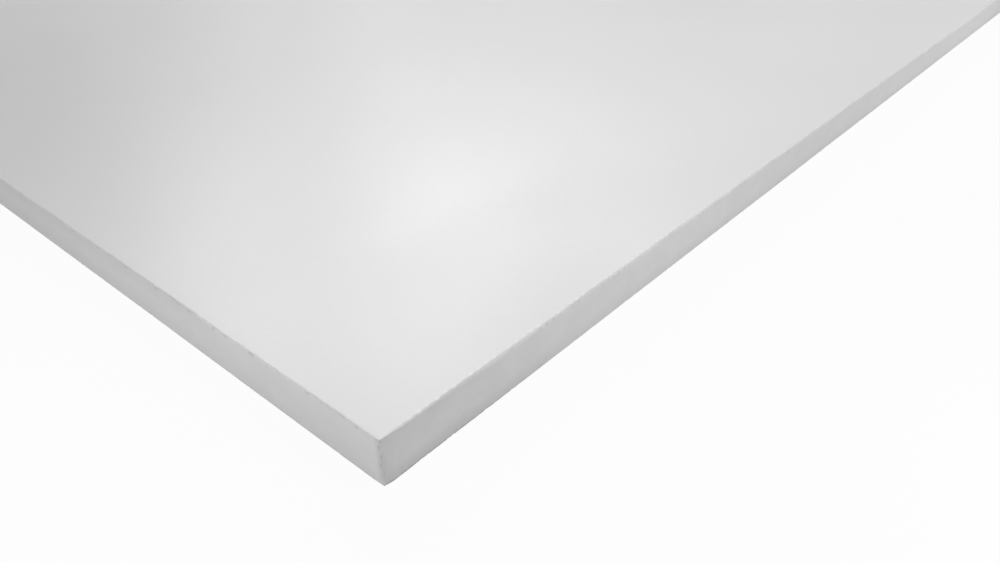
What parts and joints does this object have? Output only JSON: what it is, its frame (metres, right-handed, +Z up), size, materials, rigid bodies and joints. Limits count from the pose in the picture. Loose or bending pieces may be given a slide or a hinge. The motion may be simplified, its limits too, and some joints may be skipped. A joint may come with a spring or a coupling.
{
  "type": "melamine board",
  "caption": "White melamine-faced particleboard sheet with thin glued bands on its edges, lapped at the corners.",
  "frame": {"origin": "centre of the board's underside, over the edge bands", "axes": "+X along the long edges, +Y across the board, +Z up through the thickness"},
  "size_m": [2.44, 1.22, 0.018],
  "materials": {
    "melamine_panel": "satin",
    "edge_band": "satin"
  },
  "bodies": {
    "root": {"panel": "melamine_panel", "front_edge_band": "edge_band", "back_edge_band": "edge_band", "left_edge_band": "edge_band", "right_edge_band": "edge_band"}
  },
  "joints": []
}
